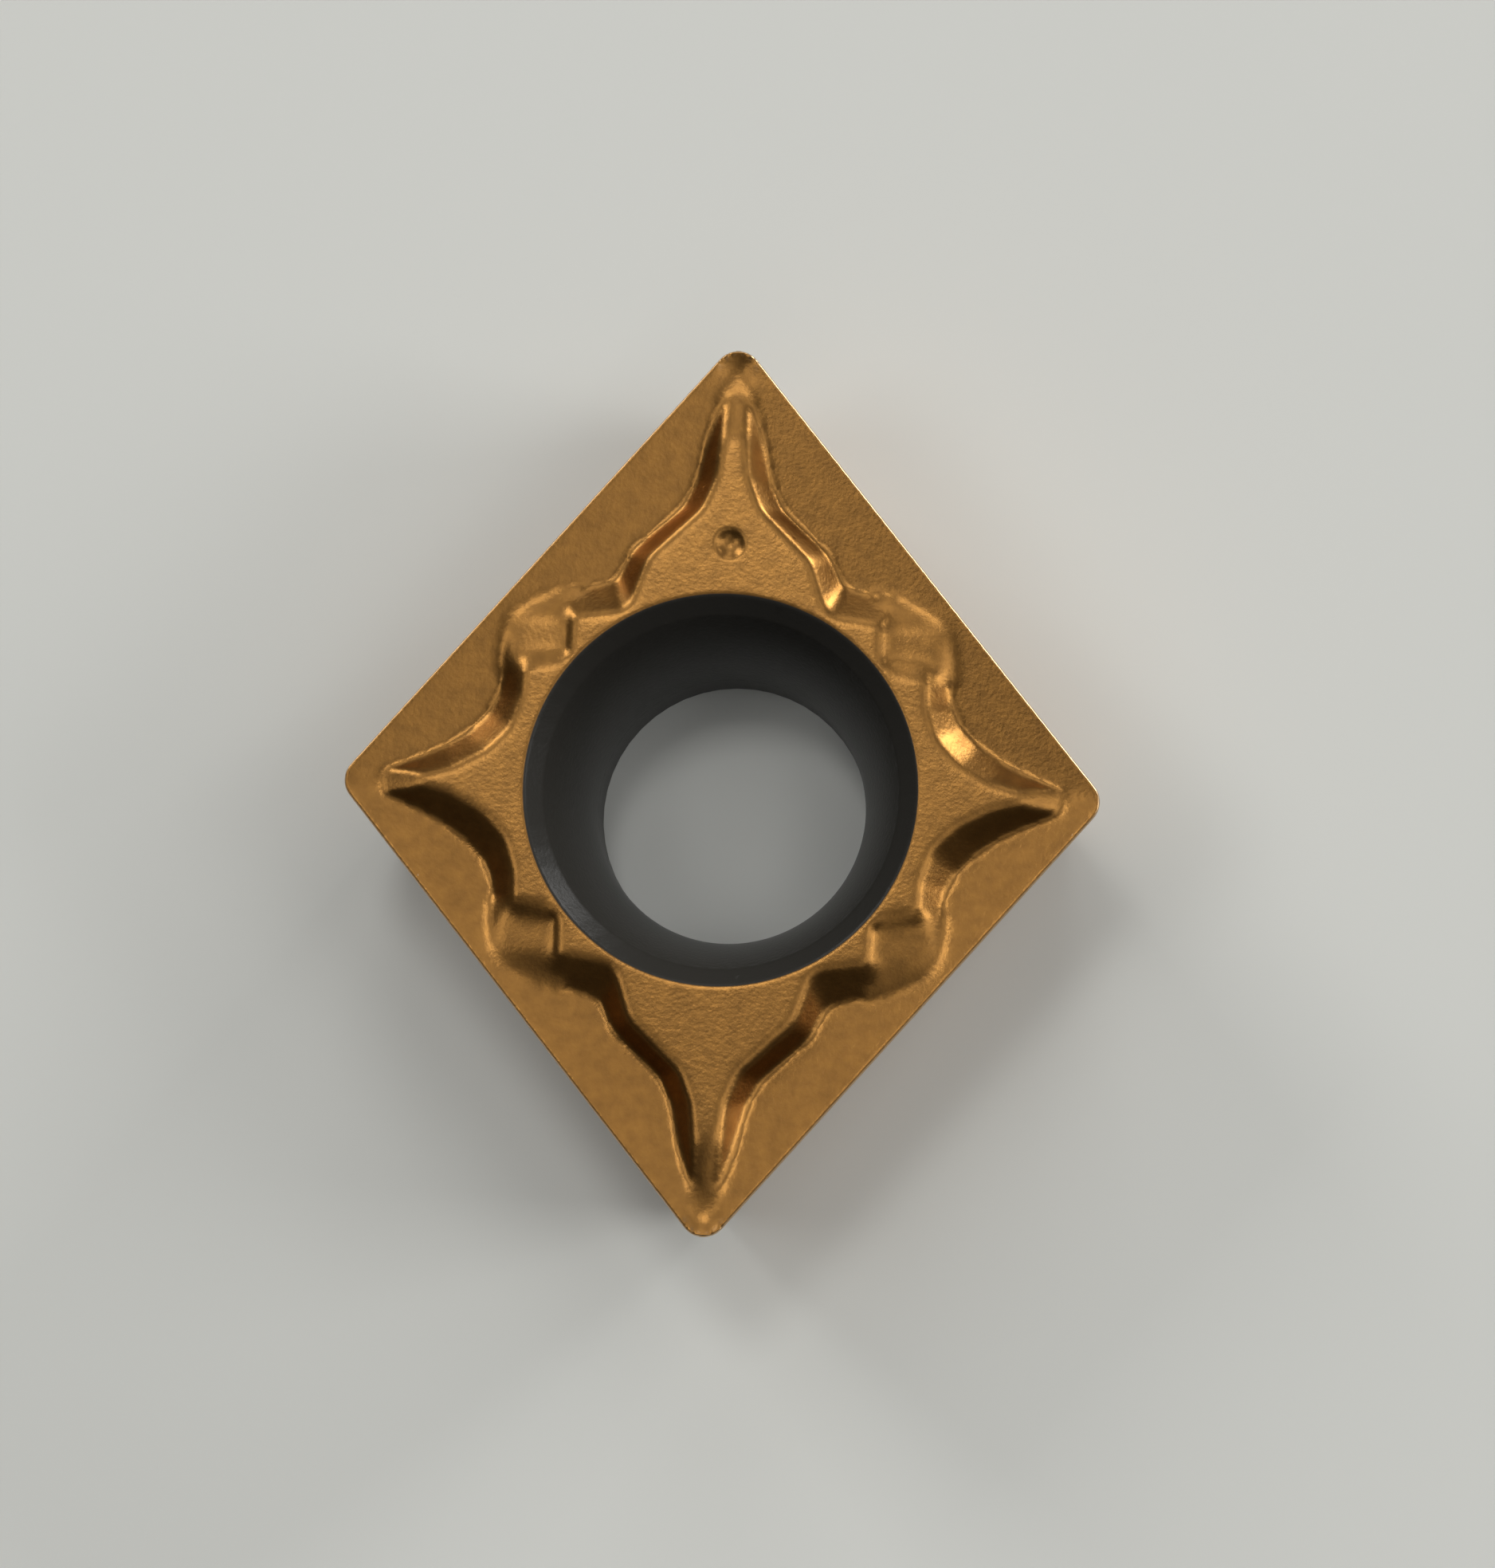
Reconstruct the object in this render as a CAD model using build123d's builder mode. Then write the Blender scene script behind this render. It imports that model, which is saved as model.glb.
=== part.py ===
from build123d import *
import math
import os

os.makedirs("parts", exist_ok=True)

# Blank: a rhombus with rounded noses, whose flanks lean in below the cutting edges
inscribed_circle = 9.525
edge_height = 3.97
nose_angle = 80
nose_radius = 0.4
clearance_angle = 7
edge_hone = 0.035
seat_chamfer = 0.06

# Rake: the top slopes down from every cutting edge into the chip groove
rake_angle = 14
groove_depth = 0.29
groove_corner_radius = 0.02
scoop_radius = 0.38
scoop_depth = 0.12
scoop_angle = 28

# Raised plateau in the middle, with an arm that ramps down to each corner
plateau_rise = 0.12
plateau_root = 0.30
plateau_round = 0.07
nose_ramp_start = 5.65
nose_ramp_angle = 14
corner_ramp_start = 4.80
corner_ramp_angle = 19

# Roundings at the corners of the plateau's crest line, and of its root line in the groove
crest_tip, crest_end, crest_step, crest_bay, crest_sweep = 0.07, 0.05, 0.10, 0.35, 0.55
root_tip, root_end, root_step, root_bay, root_sweep = 0.22, 0.15, 0.06, 0.16, 0.38

# Low pad between the plateau and the middle of each cutting edge
pad_rise = 0.04
pad_root = 0.30
pad_slope_angle = 4
pad_top_round = 0.30
pad_root_round = 0.55
pad_setback = 0.10

# Hole for the clamping screw, with a bell mouth that the screw's head seats in
screw_hole_diameter = 4.4
mouth_diameter = 6.33
throat_diameter = 5.74
mouth_lead_angle = 45
mouth_depth = 2.9
mouth_round = 0.04
hole_chamfer = 0.15

# Index dimple on the arm to one nose
dimple_diameter = 0.5
dimple_depth = 0.09
dimple_distance = 3.99

# Worked out from the sizes above: the sharp corners of the blank, and its levels
half_nose = math.radians(nose_angle / 2)
long_half = inscribed_circle / 2 / math.sin(half_nose)
short_half = inscribed_circle / 2 / math.cos(half_nose)
rake_run = groove_depth / math.tan(math.radians(rake_angle))
plateau_height = edge_height + plateau_rise
root_height = edge_height - plateau_root

# One quarter of the plateau's crest and root lines, from the nose arm's tip to the corner arm's.
# Each corner is a share of the short and of the long half diagonal, so that the plateau spreads
# with the blank, and has its own rounding.
crest_quarter = [
    (0.000, 0.866, crest_tip),
    (0.016, 0.850, crest_step),
    (0.032, 0.756, crest_sweep),
    (0.039, 0.688, crest_sweep),
    (0.072, 0.618, crest_sweep),
    (0.209, 0.505, crest_sweep),
    (0.257, 0.385, crest_bay),
    (0.399, 0.367, crest_step),
    (0.401, 0.281, crest_step),
    (0.521, 0.258, crest_step),
    (0.523, 0.192, crest_sweep),
    (0.550, 0.119, crest_sweep),
    (0.611, 0.067, crest_sweep),
    (0.700, 0.027, crest_sweep),
    (0.772, 0.011, crest_sweep),
    (0.856, 0.009, crest_end),
    (0.864, 0.000, crest_end),
]
root_quarter = [
    (0.000, 0.949, root_tip),
    (0.048, 0.864, root_sweep),
    (0.088, 0.792, root_sweep),
    (0.106, 0.675, root_sweep),
    (0.134, 0.621, root_sweep),
    (0.264, 0.526, root_sweep),
    (0.296, 0.461, root_bay),
    (0.470, 0.451, root_bay),
    (0.470, 0.337, root_step),
    (0.598, 0.327, root_step),
    (0.597, 0.205, root_sweep),
    (0.622, 0.159, root_sweep),
    (0.671, 0.121, root_sweep),
    (0.729, 0.094, root_sweep),
    (0.806, 0.072, root_sweep),
    (0.878, 0.039, root_sweep),
    (0.925, 0.000, root_end),
]

# The pad's inner, outer and outer root lines as shares of the short half diagonal, and its near and
# far lines and the two ends of its far root line as shares of the long one
pad_inner, pad_outer, pad_root_outer = 0.385, 0.568, 0.592
pad_near, pad_far, pad_root_far_inner, pad_root_far_outer = 0.263, 0.364, 0.491, 0.552


def rhombus(inset):
    """Corners of the blank's outline, with its sides moved in by inset."""
    share = 1 - 2 * inset / inscribed_circle
    return [(0, long_half * share), (short_half * share, 0),
            (0, -long_half * share), (-short_half * share, 0)]


def four_quarters(quarter):
    """Corners and roundings of a closed outline, mirrored from one quarter of it."""
    right = quarter + [(x, -y, r) for x, y, r in reversed(quarter[:-1])]
    whole = right + [(-x, y, r) for x, y, r in reversed(right[1:-1])]
    corners = [(x * short_half, y * long_half) for x, y, r in whole]
    return corners, [r for x, y, r in whole]


def pad_corners(outer, far_inner, far_outer, origin=0):
    """Corners of one pad's outline, with x measured from origin."""
    left = pad_inner * short_half - origin
    right = outer * short_half - origin
    return [(left, pad_near * long_half), (right, pad_near * long_half),
            (right, far_outer * long_half), (left, far_inner * long_half)]


# The plateau's walls run from the crest line down to the root line
with BuildPart() as plateau:
    for height, quarter in ((root_height, root_quarter), (plateau_height, crest_quarter)):
        corners, roundings = four_quarters(quarter)
        with BuildSketch(Plane.XY.offset(height)):
            with BuildLine():
                FilletPolyline(*corners, radius=roundings, close=True)
            make_face()
    loft(ruled=True)
    fillet(plateau.faces().sort_by(Axis.Z)[-1].edges(), plateau_round)
    for plane, start, end, angle in ((Plane.YZ, nose_ramp_start, long_half, nose_ramp_angle),
                                     (Plane.XZ, corner_ramp_start, short_half, corner_ramp_angle)):
        ramp_end = plateau_height - (end - start) * math.tan(math.radians(angle))
        with BuildSketch(plane):
            with BuildLine():
                Polyline((start, plateau_height), (end, plateau_height), (end, ramp_end), close=True)
            make_face()
            mirror(about=Plane.YZ)
        extrude(amount=inscribed_circle, both=True, mode=Mode.SUBTRACT)

# Each pad leans down towards its cutting edge, and stays inside the flanks
with BuildPart() as pads:
    with BuildSketch(Plane.XY.offset(edge_height - pad_root)):
        with BuildLine():
            FilletPolyline(*pad_corners(pad_root_outer, pad_root_far_inner, pad_root_far_outer),
                           radius=[0, 0, pad_root_round, 0], close=True)
        make_face()
    pad_start = pad_inner * short_half
    pad_plane = Plane((pad_start, 0, edge_height + pad_rise)).rotated((0, pad_slope_angle, 0))
    with BuildSketch(pad_plane):
        with BuildLine():
            FilletPolyline(*pad_corners(pad_outer, pad_far, pad_far, pad_start),
                           radius=[0, 0, pad_top_round, 0], close=True)
        make_face()
    loft(ruled=True)
    mirror(about=Plane.YZ)
    mirror(about=Plane.XZ)
    with BuildSketch():
        with BuildLine():
            Polyline(*rhombus(pad_setback), close=True)
        make_face()
    extrude(amount=plateau_height, mode=Mode.INTERSECT)

with BuildPart() as insert_body:
    # Each flank is a plane that leans in from its cutting edge, and the noses are rounded between them
    Box(2 * inscribed_circle, 2 * inscribed_circle, edge_height,
        align=(Align.CENTER, Align.CENTER, Align.MIN))
    flank_lean = Vector(0, 0, -math.tan(math.radians(clearance_angle)))
    for side_x, side_y in ((1, 1), (-1, 1), (-1, -1), (1, -1)):
        outward = Vector(side_x * math.cos(half_nose), side_y * math.sin(half_nose))
        edge_middle = outward * inscribed_circle / 2 + Vector(0, 0, edge_height)
        split(bisect_by=Plane(edge_middle, z_dir=outward + flank_lean), keep=Keep.BOTTOM)
    noses = insert_body.edges().filter_by(lambda edge: edge.bounding_box().size.Z > edge_height / 2)
    fillet(noses, nose_radius)
    chamfer(insert_body.faces().sort_by(Axis.Z)[0].edges(), seat_chamfer)

    # Four rake faces run in from the cutting edges, and a flat scoop steepens them behind each nose
    with BuildSketch(Plane.XY.offset(edge_height)):
        add(insert_body.faces().sort_by(Axis.Z)[-1])
    with BuildSketch(Plane.XY.offset(edge_height - groove_depth)):
        with BuildLine():
            FilletPolyline(*rhombus(rake_run), radius=groove_corner_radius, close=True)
        make_face()
    loft(ruled=True, mode=Mode.SUBTRACT)
    fillet(insert_body.edges().group_by(Axis.Z)[-1], edge_hone)
    add(pads.part)
    add(plateau.part)
    nose_centre = long_half - nose_radius / math.sin(half_nose)
    scoop_floor_radius = scoop_radius - scoop_depth / math.tan(math.radians(scoop_angle))
    scoop_middle = edge_height - scoop_depth / 2
    with Locations((0, nose_centre, scoop_middle), (0, -nose_centre, scoop_middle)):
        Cone(scoop_floor_radius, scoop_radius, scoop_depth, mode=Mode.SUBTRACT)

    # Screw hole: a short true wall above the seat, the bell mouth that opens from it, and a lead
    # cone whose rim is rounded over onto the plateau
    wall_radius = screw_hole_diameter / 2
    wall_top = plateau_height - mouth_depth
    mouth_radius = mouth_diameter / 2
    lead_angle = math.radians(mouth_lead_angle)
    throat_radius = throat_diameter / 2
    throat_top = plateau_height - (mouth_radius - throat_radius) / math.tan(lead_angle)
    rim_run = mouth_round * math.tan((math.pi / 2 - lead_angle) / 2)
    rim_outer = (mouth_radius + rim_run, plateau_height)
    rim_inner = (mouth_radius - rim_run * math.sin(lead_angle), plateau_height - rim_run * math.cos(lead_angle))
    with BuildSketch(Plane.XZ):
        with BuildLine():
            Polyline((wall_radius, wall_top), (wall_radius, hole_chamfer),
                     (wall_radius + hole_chamfer, 0), (0, 0), (0, plateau_height), rim_outer)
            TangentArc(rim_outer, rim_inner, tangent=(-1, 0))
            Line(rim_inner, (throat_radius, throat_top))
            TangentArc((wall_radius, wall_top), (throat_radius, throat_top), tangent=(0, 1))
        make_face()
    revolve(axis=Axis.Z, mode=Mode.SUBTRACT)

    dimple_ball = (dimple_diameter ** 2 / 4 + dimple_depth ** 2) / (2 * dimple_depth)
    with Locations((0, dimple_distance, plateau_height - dimple_depth + dimple_ball)):
        Sphere(dimple_ball, mode=Mode.SUBTRACT)

insert_body.part.label = "insert_body"
export_step(insert_body.part, "parts/insert_body.step")
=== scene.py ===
import math

import bpy
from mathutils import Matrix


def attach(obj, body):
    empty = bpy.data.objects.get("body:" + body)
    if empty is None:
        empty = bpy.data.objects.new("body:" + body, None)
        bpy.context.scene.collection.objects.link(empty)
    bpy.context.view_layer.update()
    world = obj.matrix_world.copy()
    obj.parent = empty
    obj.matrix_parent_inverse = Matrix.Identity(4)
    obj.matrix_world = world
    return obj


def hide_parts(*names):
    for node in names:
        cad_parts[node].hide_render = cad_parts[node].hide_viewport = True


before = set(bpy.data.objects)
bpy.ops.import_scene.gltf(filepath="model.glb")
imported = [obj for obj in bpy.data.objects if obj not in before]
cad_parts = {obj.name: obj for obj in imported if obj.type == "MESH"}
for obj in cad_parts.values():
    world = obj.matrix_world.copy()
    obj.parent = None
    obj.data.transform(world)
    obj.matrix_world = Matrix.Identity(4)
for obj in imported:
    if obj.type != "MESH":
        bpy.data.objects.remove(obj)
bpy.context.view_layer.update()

# ---------------------------------------------------------------------------------------------
# Insert body: one piece of cemented carbide, pressed from powder with its chip groove and star
# plateau, sintered, honed along the cutting edges and coated. Pressing and coating leave every
# crest and groove line soft, while the ground edges and the rim of the hole stay crisp.
# ---------------------------------------------------------------------------------------------
weld_distance = 1e-7
grain_step = 0.000035
smooth_factor = 0.5
even_passes = 3
soft_passes = 30
faded_passes = 90
share_levels = 10
most_triangles = 190000

inscribed_radius = 0.0047625
half_nose = math.radians(40)
nose_radius = 0.0004
sharp_nose_middle = (inscribed_radius - nose_radius) / math.sin(half_nose)
wide_nose_middle = (inscribed_radius - nose_radius) / math.cos(half_nose)
crisp_edge_band = 0.00005
crisp_rim_radius = 0.00324
soft_fade = 0.00012
soft_floor = 0.0030
dimple_distance, dimple_clear = 0.00399, 0.00030
scoop_distance, scoop_reach = 0.00675, 0.00048
pad_side, pad_middle = 0.00358, 0.00250
pad_side_reach, pad_side_length = 0.00018, 0.00060
pad_centre_x, pad_centre_y = 0.00316, 0.00258
pad_reach_x, pad_reach_y = 0.00044, 0.00066
pad_share = 0.8
arm_middle, arm_reach, arm_width = 0.00595, 0.00045, 0.00040
arm_share = 0.4

wall_radius, wall_top = 0.0022, 0.00119
throat_radius, throat_top = 0.00287, 0.003795
mouth_run, mouth_rise = throat_radius - wall_radius, throat_top - wall_top
mouth_curve = (mouth_run ** 2 + mouth_rise ** 2) / (2 * mouth_run)

insert = bpy.data.objects.new("insert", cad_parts["insert_body"].data.copy())
bpy.context.scene.collection.objects.link(insert)
bpy.ops.object.select_all(action="DESELECT")
insert.select_set(True)
bpy.context.view_layer.objects.active = insert

bpy.ops.object.mode_set(mode="EDIT")
bpy.ops.mesh.select_all(action="SELECT")
bpy.ops.mesh.remove_doubles(threshold=weld_distance)
bpy.ops.mesh.normals_make_consistent(inside=False)
bpy.ops.object.mode_set(mode="OBJECT")

pressed = insert.modifiers.new("pressed grain", "REMESH")
pressed.mode = "VOXEL"
pressed.voxel_size = grain_step
bpy.ops.object.modifier_apply(modifier=pressed.name)

# The bell mouth of the hole is turned true, and all other surfaces get their share of softness
insert.vertex_groups.new(name="soft")
insert.vertex_groups.new(name="faded")
shares = {}
for vertex in insert.data.vertices:
    x, y, z = vertex.co
    from_axis = math.hypot(x, y)
    if wall_top < z < throat_top - grain_step and from_axis < throat_radius + grain_step:
        true_radius = wall_radius + mouth_curve - math.sqrt(mouth_curve ** 2 - (z - wall_top) ** 2)
        vertex.co.x = x * true_radius / from_axis
        vertex.co.y = y * true_radius / from_axis
    from_edge = inscribed_radius - abs(x) * math.cos(half_nose) - abs(y) * math.sin(half_nose)
    past_sharp, past_wide = abs(y) - sharp_nose_middle, abs(x) - wide_nose_middle
    if abs(x) * math.tan(half_nose) < past_sharp:
        from_edge = nose_radius - math.hypot(x, past_sharp)
    if abs(y) < past_wide * math.tan(half_nose):
        from_edge = nose_radius - math.hypot(y, past_wide)
    inside_edge = min(1, max(0, (from_edge - crisp_edge_band) / soft_fade))
    outside_rim = min(1, max(0, (from_axis - crisp_rim_radius) / soft_fade))
    from_dimple = math.hypot(x, y - dimple_distance) - dimple_clear
    outside_dimple = min(1, max(0, from_dimple / soft_fade))
    pressed_share = inside_edge * outside_rim * (z > soft_floor)
    in_scoop = 1 - (math.hypot(x, abs(y) - scoop_distance) - scoop_reach) / soft_fade
    at_pad_side = min(1 - (abs(abs(x) - pad_side) - pad_side_reach) / soft_fade,
                      1 - (abs(abs(y) - pad_middle) - pad_side_length) / soft_fade)
    on_pad = min(1, 1 - (abs(abs(x) - pad_centre_x) - pad_reach_x) / soft_fade,
                 1 - (abs(abs(y) - pad_centre_y) - pad_reach_y) / soft_fade)
    on_arm = min(1, 1 - (abs(abs(y) - arm_middle) - arm_reach) / soft_fade,
                 1 - (abs(x) - arm_width) / soft_fade)
    faded = max(0, in_scoop, at_pad_side, on_pad * pad_share, on_arm * arm_share)
    faded_share = pressed_share * min(1, faded)
    soft_level = round(share_levels * pressed_share * outside_dimple)
    faded_level = round(share_levels * faded_share)
    shares.setdefault(("soft", soft_level), []).append(vertex.index)
    shares.setdefault(("faded", faded_level), []).append(vertex.index)
for (name, level), members in shares.items():
    insert.vertex_groups[name].add(members, level / share_levels, "REPLACE")

evened = insert.modifiers.new("evened", "SMOOTH")
evened.factor = smooth_factor
evened.iterations = even_passes
bpy.ops.object.modifier_apply(modifier=evened.name)
for name, passes in (("soft", soft_passes), ("faded", faded_passes)):
    softened = insert.modifiers.new(name, "SMOOTH")
    softened.factor = smooth_factor
    softened.iterations = passes
    softened.vertex_group = name
    bpy.ops.object.modifier_apply(modifier=softened.name)
thinned = insert.modifiers.new("thinned", "DECIMATE")
thinned.ratio = min(1.0, most_triangles / (2 * len(insert.data.polygons)))
bpy.ops.object.modifier_apply(modifier=thinned.name)
bpy.ops.object.shade_smooth()

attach(insert, "root")
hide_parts("insert_body")

# Coating: a gold-brown nitride skin with a satin, finely grained surface. It stops at the rim of
# the screw hole, whose walls keep the dark oxide layer.
gold = (0.420, 0.203, 0.050, 1.0)
gold_dull = (0.205, 0.102, 0.030, 1.0)
# painted highlight colour for the honed cutting edge
honed_highlight_gold = (0.680, 0.470, 0.270, 1.0)
charcoal = (0.030, 0.028, 0.024, 1.0)
coat_edge_radius = 0.00318
coat_edge_blur = 0.00001
hole_foot_radius = 0.00237
hole_foot_low, hole_foot_high = 0.00005, 0.0002
patch_scale, patch_detail = 5000, 5
grain_scale, grain_detail = 15000, 3
grain_strength, grain_height = 0.4, 0.00001
satin = 0.34
hole_sheen = 0.12
honed_band, honed_blur = 0.00017, 0.00001
honed_turn_start, honed_turn_full = 0.95, 0.80
honed_low, honed_high = 0.00390, 0.00394

coating = bpy.data.materials.new("coated_carbide")
coating.use_nodes = True
nodes = coating.node_tree.nodes
links = coating.node_tree.links
surface = nodes["Principled BSDF"]

place = nodes.new("ShaderNodeTexCoord")
flat = nodes.new("ShaderNodeVectorMath")
flat.operation = "MULTIPLY"
flat.inputs[1].default_value = (1, 1, 0)
links.new(place.outputs["Object"], flat.inputs[0])
from_middle = nodes.new("ShaderNodeVectorMath")
from_middle.operation = "LENGTH"
links.new(flat.outputs[0], from_middle.inputs[0])
axes = nodes.new("ShaderNodeSeparateXYZ")
links.new(place.outputs["Object"], axes.inputs[0])
limit = nodes.new("ShaderNodeMapRange")
limit.inputs["From Min"].default_value = hole_foot_low
limit.inputs["From Max"].default_value = hole_foot_high
limit.inputs["To Min"].default_value = hole_foot_radius
limit.inputs["To Max"].default_value = coat_edge_radius
links.new(axes.outputs["Z"], limit.inputs["Value"])
outside = nodes.new("ShaderNodeMath")
outside.operation = "SUBTRACT"
links.new(from_middle.outputs["Value"], outside.inputs[0])
links.new(limit.outputs["Result"], outside.inputs[1])
coated = nodes.new("ShaderNodeMapRange")
coated.inputs["From Min"].default_value = -coat_edge_blur
coated.inputs["From Max"].default_value = coat_edge_blur
links.new(outside.outputs[0], coated.inputs["Value"])

patches = nodes.new("ShaderNodeTexNoise")
patches.inputs["Scale"].default_value = patch_scale
patches.inputs["Detail"].default_value = patch_detail
links.new(place.outputs["Object"], patches.inputs["Vector"])
gold_mix = nodes.new("ShaderNodeMix")
gold_mix.data_type = "RGBA"
gold_mix.inputs[6].default_value = gold_dull
gold_mix.inputs[7].default_value = gold
links.new(patches.outputs[0], gold_mix.inputs[0])

# Painted highlight: the honed cutting edge gets a paler gold, so that it shows as a bright line.
# The band is where the surface close to the outline turns over from the rake face to the flank
quarter_place = nodes.new("ShaderNodeVectorMath")
quarter_place.operation = "ABSOLUTE"
links.new(place.outputs["Object"], quarter_place.inputs[0])
to_flank = nodes.new("ShaderNodeVectorMath")
to_flank.operation = "DOT_PRODUCT"
to_flank.inputs[1].default_value = (math.cos(half_nose), math.sin(half_nose), 0)
links.new(quarter_place.outputs[0], to_flank.inputs[0])
at_outline = nodes.new("ShaderNodeMapRange")
honed_start = inscribed_radius - honed_band
at_outline.inputs["From Min"].default_value = honed_start
at_outline.inputs["From Max"].default_value = honed_start + honed_blur
links.new(to_flank.outputs["Value"], at_outline.inputs["Value"])
facing = nodes.new("ShaderNodeSeparateXYZ")
links.new(place.outputs["Normal"], facing.inputs[0])
turned_over = nodes.new("ShaderNodeMapRange")
turned_over.inputs["From Min"].default_value = honed_turn_start
turned_over.inputs["From Max"].default_value = honed_turn_full
links.new(facing.outputs["Z"], turned_over.inputs["Value"])
above_flank = nodes.new("ShaderNodeMapRange")
above_flank.inputs["From Min"].default_value = honed_low
above_flank.inputs["From Max"].default_value = honed_high
links.new(axes.outputs["Z"], above_flank.inputs["Value"])
near_edge = nodes.new("ShaderNodeMath")
near_edge.operation = "MULTIPLY"
links.new(at_outline.outputs["Result"], near_edge.inputs[0])
links.new(above_flank.outputs["Result"], near_edge.inputs[1])
honed_highlight = nodes.new("ShaderNodeMath")
honed_highlight.operation = "MULTIPLY"
links.new(near_edge.outputs[0], honed_highlight.inputs[0])
links.new(turned_over.outputs["Result"], honed_highlight.inputs[1])
# mixes the painted edge highlight into the coating colour
coat_and_highlight = nodes.new("ShaderNodeMix")
coat_and_highlight.data_type = "RGBA"
coat_and_highlight.inputs[7].default_value = honed_highlight_gold
links.new(honed_highlight.outputs[0], coat_and_highlight.inputs[0])
links.new(gold_mix.outputs[2], coat_and_highlight.inputs[6])
skin = nodes.new("ShaderNodeMix")
skin.data_type = "RGBA"
skin.inputs[6].default_value = charcoal
links.new(coated.outputs["Result"], skin.inputs[0])
links.new(coat_and_highlight.outputs[2], skin.inputs[7])
links.new(skin.outputs[2], surface.inputs["Base Color"])
links.new(coated.outputs["Result"], surface.inputs["Metallic"])
surface.inputs["Roughness"].default_value = satin
surface.inputs["Specular IOR Level"].default_value = hole_sheen

grain = nodes.new("ShaderNodeTexNoise")
grain.inputs["Scale"].default_value = grain_scale
grain.inputs["Detail"].default_value = grain_detail
links.new(place.outputs["Object"], grain.inputs["Vector"])
relief = nodes.new("ShaderNodeBump")
relief.inputs["Strength"].default_value = grain_strength
relief.inputs["Distance"].default_value = grain_height
links.new(grain.outputs[0], relief.inputs["Height"])
links.new(relief.outputs["Normal"], surface.inputs["Normal"])
insert.data.materials.clear()
insert.data.materials.append(coating)

# ---------------------------------------------------------------------------------------------
# Setting: a plain pale floor under soft lamps, most of them overhead, to the right and behind,
# so that the lower left stays in soft shade.
# ---------------------------------------------------------------------------------------------
floor_size = 2.0
pale_grey = (0.76, 0.765, 0.72, 1.0)
matt = 0.9
white = (1.0, 1.0, 1.0, 1.0)
room_strength = 0.045
lamp_distance = 0.6

bpy.ops.mesh.primitive_plane_add(size=floor_size, location=(0, 0, 0))
floor = bpy.context.active_object
floor.name = "floor"
paper = bpy.data.materials.new("pale_floor")
paper.use_nodes = True
paper_surface = paper.node_tree.nodes["Principled BSDF"]
paper_surface.inputs["Base Color"].default_value = pale_grey
paper_surface.inputs["Roughness"].default_value = matt
floor.data.materials.append(paper)

# Each lamp: name, turn round the upright axis and height in degrees, width in metres, watts
for name, turn, height, width, power in (
        ("overhead", 108, 70, 0.12, 0.44),
        ("high right", 0, 58, 0.20, 0.27),
        ("high corner", 50, 60, 0.20, 0.145),
        ("high behind", 135, 57, 0.20, 0.02),
        ("high left", 180, 58, 0.20, 0.32),
        ("overhead front", 328, 71, 0.20, 0.13),
        ("high front", 280, 60, 0.20, 0.07),
        ("window right", 0, 42, 0.20, 0.17),
        ("window behind", 90, 42, 0.20, 0.19),
        ("window left", 135, 42, 0.20, 0.10),
        ("low right", 2, 26, 0.20, 0.70),
        ("low behind", 90, 26, 0.20, 0.19),
        ("low back left", 135, 26, 0.20, 0.84),
        ("raking corner", 45, 10, 0.20, 1.75)):
    lamp = bpy.data.lights.new(name, "AREA")
    lamp.size = width
    lamp.energy = power
    holder = bpy.data.objects.new(name, lamp)
    bpy.context.scene.collection.objects.link(holder)
    around, above = math.radians(turn), math.radians(height)
    holder.location = (lamp_distance * math.cos(above) * math.cos(around),
                       lamp_distance * math.cos(above) * math.sin(around),
                       lamp_distance * math.sin(above))
    holder.rotation_euler = (-holder.location).to_track_quat("-Z", "Y").to_euler()

room = bpy.data.worlds.new("room")
bpy.context.scene.world = room
room.use_nodes = True
backdrop = room.node_tree.nodes["Background"]
backdrop.inputs["Color"].default_value = white
backdrop.inputs["Strength"].default_value = room_strength

camera_data = bpy.data.cameras.new("camera")
camera = bpy.data.objects.new("camera", camera_data)
bpy.context.scene.collection.objects.link(camera)
bpy.context.scene.camera = camera
camera.location = (0.009177, -0.016157, 0.127903)
camera.rotation_euler = (0.13296, 0.06517, 0.04018)
camera_data.sensor_width = 36
camera_data.lens = 179.36
camera_data.clip_start = 0.01
camera_data.clip_end = 10

bpy.context.scene.view_settings.view_transform = "Standard"
